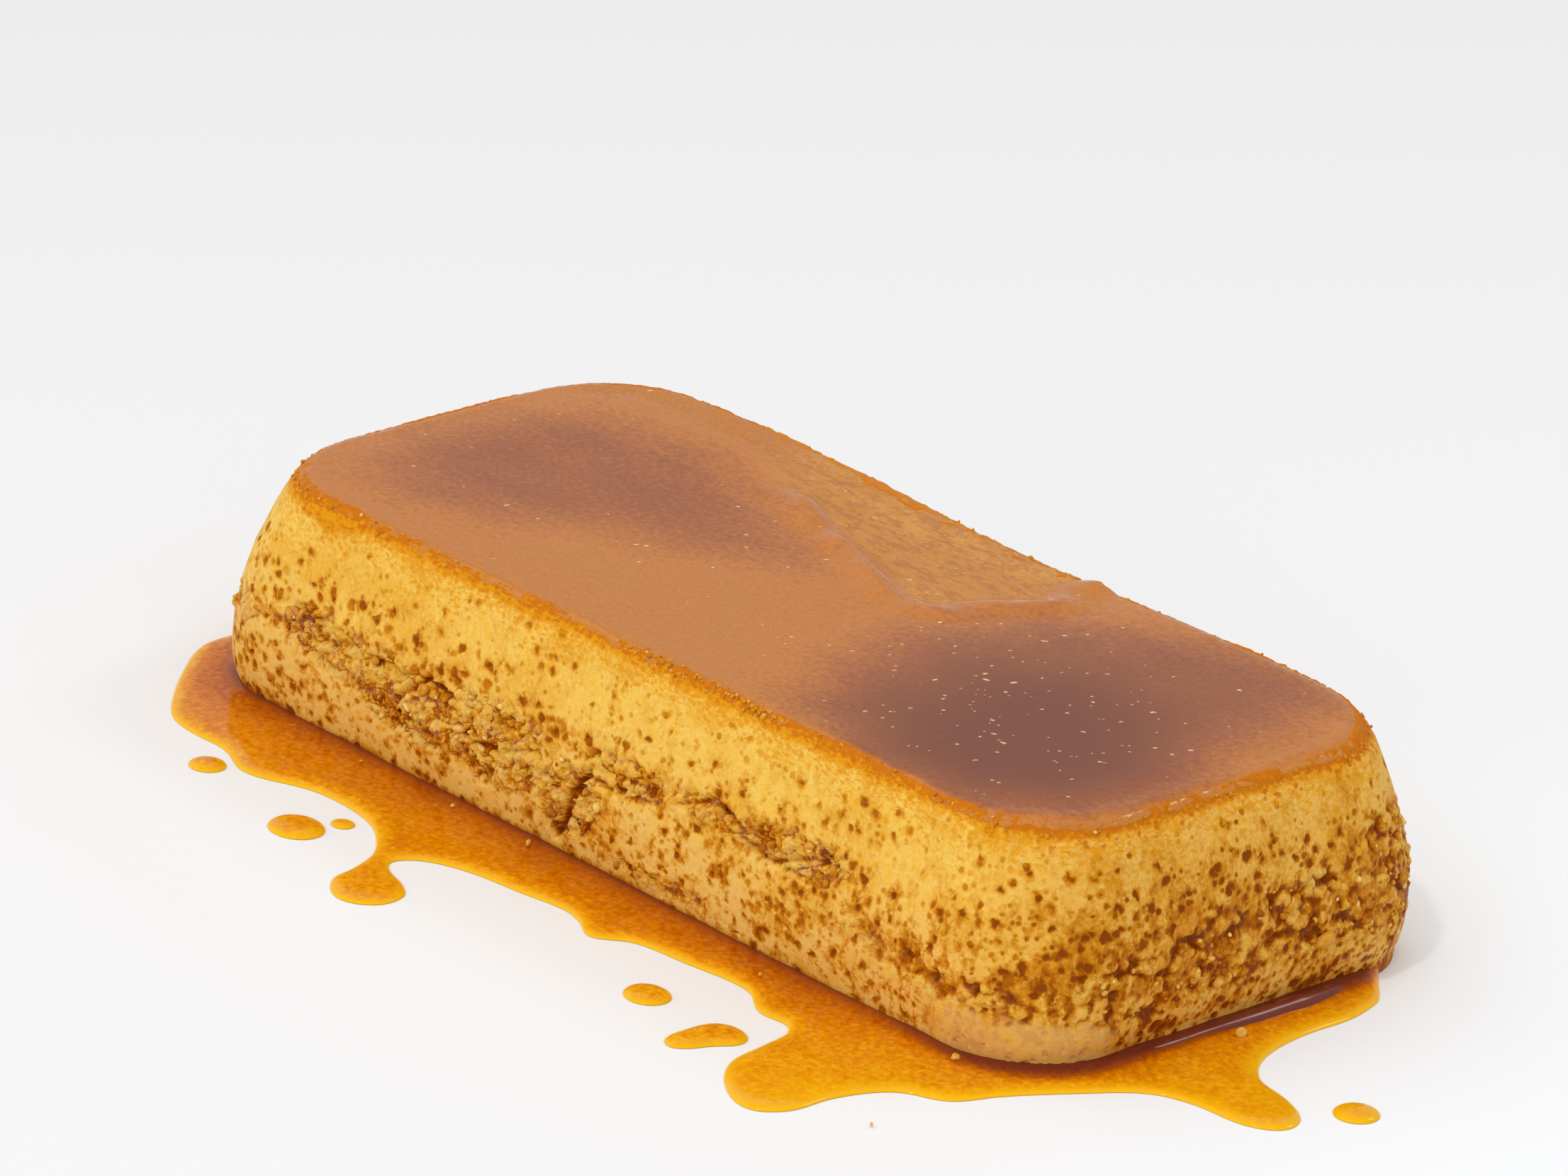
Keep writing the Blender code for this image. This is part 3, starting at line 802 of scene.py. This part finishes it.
def build_crumbs(settings):
    """Curds that stand out of the tears, crumbs along the rim, and crumbs that lie in the caramel."""
    body = bpy.data.objects["custard_body"]
    torn = vertex_values(body.data, "torn")
    below_rim = vertex_values(body.data, "below_rim")
    spots = np.zeros(len(body.data.vertices) * 3, np.float32)
    body.data.vertices.foreach_get("co", spots)
    spots = spots.reshape(-1, 3)
    material = crumb_material()
    draw = random.Random(7)
    grains = []
    for spot, normal in wall_spots(body, (torn - 0.35) * (below_rim > 3), draw, settings.curds):
        size = (0.35 + 0.9 * draw.random() ** 3) * MM
        sizes = Vector((size, size * draw.uniform(0.6, 1), size * draw.uniform(0.5, 0.9)))
        grains.append((spot + normal * size * draw.uniform(-0.7, 0.1), sizes, random_turn(draw), 0.75,
                       min(1, max(0, draw.gauss(0.62, 0.2)))))
    lump = Vector((100.6, 16.7, 10.8)) * MM
    grains.append((lump, Vector((1.1, 2.2, 1.1)) * MM, Matrix.Rotation(0.25, 3, "X").to_quaternion(), 0.35, 0.6))
    scatter("torn_curds", material, grains)
    near_rim = np.exp(-((below_rim - 0.5) / 0.8) ** 2)
    chewed = np.exp(-(from_line(spots[:, :2] / MM, ((6, -42), (17, -42), (33, -42))) / 3.5) ** 2)
    grains = []
    for spot, normal in wall_spots(body, near_rim * (0.12 + chewed), draw, settings.rim_crumbs):
        size = draw.uniform(0.16, 0.45) * MM
        sizes = Vector((size, size * draw.uniform(0.6, 1), size * draw.uniform(0.5, 1)))
        grains.append((spot + normal * size * draw.uniform(0, 0.5), sizes, random_turn(draw), 0.7,
                       min(1, max(0, draw.gauss(0.5, 0.1)))))
    scatter("rim_crumbs", material, grains)
    grains = []
    loose = ((103.5, -4, 1.0), (85, -47.6, 0.9), (-12, -48.6, 0.6), (46, -52, 0.5), (93.7, -73.6, 0.35),
             (-30, -49, 0.5), (-52, -49.5, 0.45))
    for x, y, size in loose:
        height = 0.4 if abs(y) > 70 else 1.3
        grains.append((Vector((x, y, height)) * MM, Vector((size, size * 0.8, size * 0.6)) * MM, random_turn(draw),
                       0.7, 0.75))
    scatter("loose_crumbs", material, grains, detail=3)


def build_specks(settings):
    """Tiny pale specks in the caramel film."""
    film = bpy.data.objects["caramel_glaze"]
    tree = BVHTree.FromObject(film, bpy.context.evaluated_depsgraph_get())
    draw = random.Random(11)
    grains = []
    while len(grains) < settings.specks:
        if draw.random() < 0.62:
            x, y = draw.gauss(52, 19), draw.gauss(-6, 17)
        else:
            x, y = draw.uniform(-88, 90), draw.uniform(-38, 38)
        if abs(x) > 88 or abs(y) > 38:
            continue
        hit = tree.ray_cast(Vector((x * MM, y * MM, 0.08)), Vector((0, 0, -1)))[0]
        if hit is None or hit.z < 36 * MM:
            continue
        size = (0.12 + 0.22 * draw.random() ** 2) * MM
        turn = Matrix.Rotation(draw.uniform(-0.6, 0.6) + 0.8, 3, "Z").to_quaternion()
        grains.append((hit, Vector((size * draw.uniform(1, 2.2), size * 0.8, size * 0.35)), turn, 0.3,
                       draw.random()))
    scatter("glaze_specks", speck_material(), grains)


def build_bead(body, material):
    """The thick bead of caramel along the foot of the wet end."""
    marks = np.linspace(-46, 54, 180)
    start, out, away = foot_reach(body, marks * MM % block_length())
    away = evened(away, 6, closed=False)
    half = np.interp(marks, (-46, -28, -5, 12, 38, 46, 51, 54), (0.05, 0.5, 0.8, 1.3, 2.0, 1.6, 0.8, 0.05))
    half *= np.array([1 + 0.3 * noise.noise(Vector((mark * 0.09, 4, 0))) for mark in marks])
    sides = 16
    bm = bmesh.new()
    made, column, row = grid_table(bm, sides, len(marks) - 1)
    angle = column / sides * math.tau
    outward = away[row] + half[row] * (0.7 + np.cos(angle)) * MM
    up = 0.35 + np.where(np.sin(angle) > 0, half[row] * 0.8 + 0.3, 0.3) * np.sin(angle)
    flat = start[row] + out[row] * outward[:, None]
    for vertex, (x, y), z in zip(made, flat, up * MM):
        vertex.co = (x, y, z)
    bmesh.ops.remove_doubles(bm, verts=bm.verts, dist=1e-6)
    bmesh.ops.holes_fill(bm, edges=[edge for edge in bm.edges if edge.is_boundary], sides=0)
    bmesh.ops.recalc_face_normals(bm, faces=bm.faces)
    store(bm, "depth", [1.0] * len(bm.verts))
    return add_piece(bm, "caramel_bead", material)


def build_caramel(settings):
    """The spill round the foot, the bead on it and the drops beside it."""
    stops = ((0.0, settings.edge), (0.30, settings.body), (0.6, settings.deep), (1.0, settings.bead))
    material = caramel_material("caramel spill", stops, 0.07, (1, 0.5, 0.1), 0.95, 0.0)
    source = cad_copy("custard")
    foot = foot_line(BVHTree.FromBMesh(source))
    source.free()
    body = BVHTree.FromObject(bpy.data.objects["custard_body"], bpy.context.evaluated_depsgraph_get())
    body_foot = foot_line(body)
    build_liquid("caramel_spill", "caramel_puddle", foot, body_foot, settings.spacing, 0.85 * MM, material)
    build_bead(body, caramel_material("caramel bead", stops, 0.17, (1, 1, 1), 0.55, 0.0))
    for number in range(1, 7):
        node = f"caramel_drop_{number}"
        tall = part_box(node)[1].z
        build_liquid(f"drop_{number}", node, foot, body_foot, 0.8 * MM, tall * 0.8, material)


def area_light(name, place, aim, size, watts, colour=(1, 1, 1)):
    data = bpy.data.lights.new(name, "AREA")
    data.shape, data.size, data.energy, data.color = "DISK", size, watts, colour
    lamp = bpy.data.objects.new(name, data)
    lamp.location = place
    lamp.rotation_mode = "QUATERNION"
    lamp.rotation_quaternion = (Vector(aim) - Vector(place)).to_track_quat("-Z", "Y")
    bpy.context.scene.collection.objects.link(lamp)
    return lamp


def build_stage(settings):
    """A pale floor, soft light and the camera."""
    scene = bpy.context.scene
    bm = bmesh.new()
    bmesh.ops.create_circle(bm, cap_ends=True, segments=64, radius=6)
    bmesh.ops.translate(bm, verts=bm.verts, vec=(0, 0, -0.0001))
    mesh = bpy.data.meshes.new("floor")
    bm.to_mesh(mesh)
    bm.free()
    floor = bpy.data.objects.new("floor", mesh)
    scene.collection.objects.link(floor)
    material, recipe, shader = new_material("floor")
    place = recipe.add("ShaderNodeTexCoord", {}, {}, "Object")
    drift = recipe.noise(place, 1.5, 2)
    shade = recipe.mix(drift, (0.835, 0.835, 0.84), (0.85, 0.85, 0.855))
    # Darker far behind the loaf: painted shade, as if the light fell off with distance.
    behind = recipe.vector("DOT_PRODUCT", place, (-0.7, 0.7, 0)).output("Value").step(-0.1, 0.7)
    shade = recipe.mix(behind, shade, (0.77, 0.77, 0.785))
    # Paler round patch beside the wet end: painted light that offsets the loaf's shade on the floor there.
    beside = recipe.vector("DISTANCE", place, (0.15, 0.05, 0)).output("Value").step(0.16, 0.05)
    connect(recipe, shader, Base_Color=recipe.mix(beside, shade, (0.88, 0.895, 0.91)), Roughness=0.9,
            Specular_IOR_Level=0.0)
    mesh.materials.append(material)
    world = bpy.data.worlds.new("room")
    scene.world = world
    world.use_nodes = True
    room = Recipe(world.node_tree)
    toward = room.add("ShaderNodeTexCoord", {}, {}, "Generated")
    glow = room.vector("DOT_PRODUCT", toward, Vector(settings.bright_side)).output("Value")
    sky = world.node_tree.nodes["Background"]
    sky.inputs["Color"].default_value = (1, 1, 1, 1)
    connect(room, sky, Strength=glow.step(0.0, 0.95, settings.room, settings.glow))
    area_light("key", (0.18, -0.70, 1.22), (0, 0, 0), 0.10, settings.key)
    area_light("glint", (0.32, 0.98, 1.12), (0.1, 0, 0), 0.4, settings.glint)
    camera = bpy.data.objects.new("camera", bpy.data.cameras.new("camera"))
    camera.data.sensor_width, camera.data.lens = 36, 202.6
    camera.data.clip_start, camera.data.clip_end = 0.05, 30
    azimuth, elevation, roll = math.radians(45.085), math.radians(21.715), math.radians(4.739)
    back = Vector((math.sin(azimuth) * math.cos(elevation), -math.cos(azimuth) * math.cos(elevation),
                   math.sin(elevation)))
    right = Vector((math.cos(azimuth), math.sin(azimuth), 0))
    up = back.cross(right)
    across = right * math.cos(roll) + up * math.sin(roll)
    camera.matrix_world = Matrix.LocRotScale(
        Vector((-0.072035, 0.063853, 0)) + back * 1.52089,
        Matrix((across, back.cross(across), back)).transposed().to_quaternion(), None)
    scene.collection.objects.link(camera)
    scene.camera = camera
    scene.view_settings.view_transform = "Standard"


def colour_property(name, description, default):
    return FloatVectorProperty(name=name, description=description, subtype="COLOR", size=3, min=0, max=1,
                               default=default)


def length_property(name, description, default):
    return FloatProperty(name=name, description=description, subtype="DISTANCE", unit="LENGTH", default=default,
                         precision=5)


class PuddingCustard(bpy.types.PropertyGroup):
    columns: IntProperty(name="Columns", description="Faces round the loaf", default=1016, min=64)
    cream: colour_property("Cream", "Palest custard", (0.86, 0.56, 0.115))
    yellow: colour_property("Yellow", "Most of the custard", (0.78, 0.415, 0.048))
    amber: colour_property("Amber", "Custard with caramel in it", (0.60, 0.235, 0.010))
    brown: colour_property("Brown", "Holes and shallow crevices", (0.42, 0.115, 0.002))
    crevice: colour_property("Crevice", "Deepest holes and crevices", (0.26, 0.058, 0.0015))
    beige: colour_property("Beige", "Palest custard near the foot", (0.80, 0.50, 0.17))
    clear: colour_property("Clear", "How clear patches tint the custard", (0.98, 0.86, 0.30))
    fleck: colour_property("Fleck", "Pale flecks", (0.90, 0.66, 0.22))
    rim: colour_property("Rim", "Soaked custard at the rim", (0.74, 0.30, 0.004))
    soaked: colour_property("Soaked", "Darkest soaked custard", (0.56, 0.155, 0.004))


class PuddingCrumbs(bpy.types.PropertyGroup):
    curds: IntProperty(name="Curds", description="Curds standing out of the tears", default=420, min=1)
    rim_crumbs: IntProperty(name="Rim crumbs", description="Crumbs along the rim", default=240, min=1)
    specks: IntProperty(name="Specks", description="Specks in the caramel film", default=210, min=1)


class PuddingGlaze(bpy.types.PropertyGroup):
    film: length_property("Film", "Thickness of the caramel film", 0.0004)
    inset: length_property("Inset", "Bare custard between the film and the wall", 0.0006)
    thin: colour_property("Thin", "Caramel at the film's edge", (0.62, 0.21, 0.010))
    middle: colour_property("Middle", "Caramel over most of the top", (0.56, 0.18, 0.014))
    thick: colour_property("Thick", "Caramel in the pools", (0.33, 0.085, 0.014))
    darkest: colour_property("Darkest", "Caramel where it is deepest", (0.17, 0.032, 0.006))


class PuddingSpill(bpy.types.PropertyGroup):
    spacing: length_property("Spacing", "Size of the spill's faces", 0.001)
    edge: colour_property("Edge", "Spill at its thin edge", (0.92, 0.50, 0.005))
    body: colour_property("Body", "Spill away from the loaf", (0.72, 0.225, 0.0))
    deep: colour_property("Deep", "Spill at the loaf's foot", (0.47, 0.10, 0.0))
    bead: colour_property("Bead", "The thick bead at the end's foot", (0.17, 0.028, 0.012))


class PuddingStage(bpy.types.PropertyGroup):
    room: FloatProperty(name="Room", description="Brightness of the room's dim side", default=0.53)
    glow: FloatProperty(name="Glow", description="Brightness of the room's bright side", default=1.2)
    bright_side: FloatVectorProperty(name="Bright side", description="Where the soft light comes from",
                                     subtype="DIRECTION", size=3, default=(-0.12, -0.58, 0.81))
    key: FloatProperty(name="Key", description="Power of the small light", subtype="POWER", unit="POWER",
                       default=2.4)
    glint: FloatProperty(name="Glint", description="Power of the light behind the wet end", subtype="POWER",
                         unit="POWER", default=2.0)


class PUDDING_OT_stage(bpy.types.Operator):
    """Makes the floor, the light and the camera"""
    bl_idname = "pudding.stage"
    bl_label = "Stage"

    def execute(self, context):
        build_stage(context.scene.pudding_stage)
        return {"FINISHED"}


class PUDDING_OT_custard(bpy.types.Operator):
    """Makes the custard loaf"""
    bl_idname = "pudding.custard"
    bl_label = "Custard"

    def execute(self, context):
        build_custard(context.scene.pudding_custard)
        return {"FINISHED"}


class PUDDING_OT_glaze(bpy.types.Operator):
    """Makes the caramel on the top"""
    bl_idname = "pudding.glaze"
    bl_label = "Caramel top"

    def execute(self, context):
        build_glaze(context.scene.pudding_glaze)
        return {"FINISHED"}


class PUDDING_OT_spill(bpy.types.Operator):
    """Makes the spill and its drops"""
    bl_idname = "pudding.spill"
    bl_label = "Spill"

    def execute(self, context):
        build_caramel(context.scene.pudding_spill)
        return {"FINISHED"}


class PUDDING_OT_crumbs(bpy.types.Operator):
    """Makes the curds, the crumbs and the specks"""
    bl_idname = "pudding.crumbs"
    bl_label = "Crumbs"

    def execute(self, context):
        build_crumbs(context.scene.pudding_crumbs)
        build_specks(context.scene.pudding_crumbs)
        return {"FINISHED"}


OPERATORS = (PUDDING_OT_stage, PUDDING_OT_custard, PUDDING_OT_glaze, PUDDING_OT_spill, PUDDING_OT_crumbs)


class PUDDING_PT_panel(bpy.types.Panel):
    """Lists the pudding's pieces"""
    bl_label = "Caramel Pudding"
    bl_space_type = "VIEW_3D"
    bl_region_type = "UI"
    bl_category = "Pudding"

    def draw(self, context):
        scene = context.scene
        for operator in OPERATORS:
            self.layout.operator(operator.bl_idname)
        for name in GROUPS:
            settings = getattr(scene, name)
            for key in settings.bl_rna.properties.keys():
                if key not in {"rna_type", "name"}:
                    self.layout.prop(settings, key)


GROUPS = {
    "pudding_stage": PuddingStage, "pudding_custard": PuddingCustard, "pudding_glaze": PuddingGlaze,
    "pudding_spill": PuddingSpill, "pudding_crumbs": PuddingCrumbs,
}
CLASSES = (*GROUPS.values(), *OPERATORS, PUDDING_PT_panel)


def register():
    for item in CLASSES:
        bpy.utils.register_class(item)
    for name, group in GROUPS.items():
        setattr(bpy.types.Scene, name, PointerProperty(type=group))


def unregister():
    for name in GROUPS:
        delattr(bpy.types.Scene, name)
    for item in reversed(CLASSES):
        bpy.utils.unregister_class(item)


def main():
    register()
    bpy.ops.pudding.stage()
    bpy.ops.pudding.custard()
    bpy.ops.pudding.glaze()
    bpy.ops.pudding.spill()
    bpy.ops.pudding.crumbs()


if __name__ == "__main__":
    main()
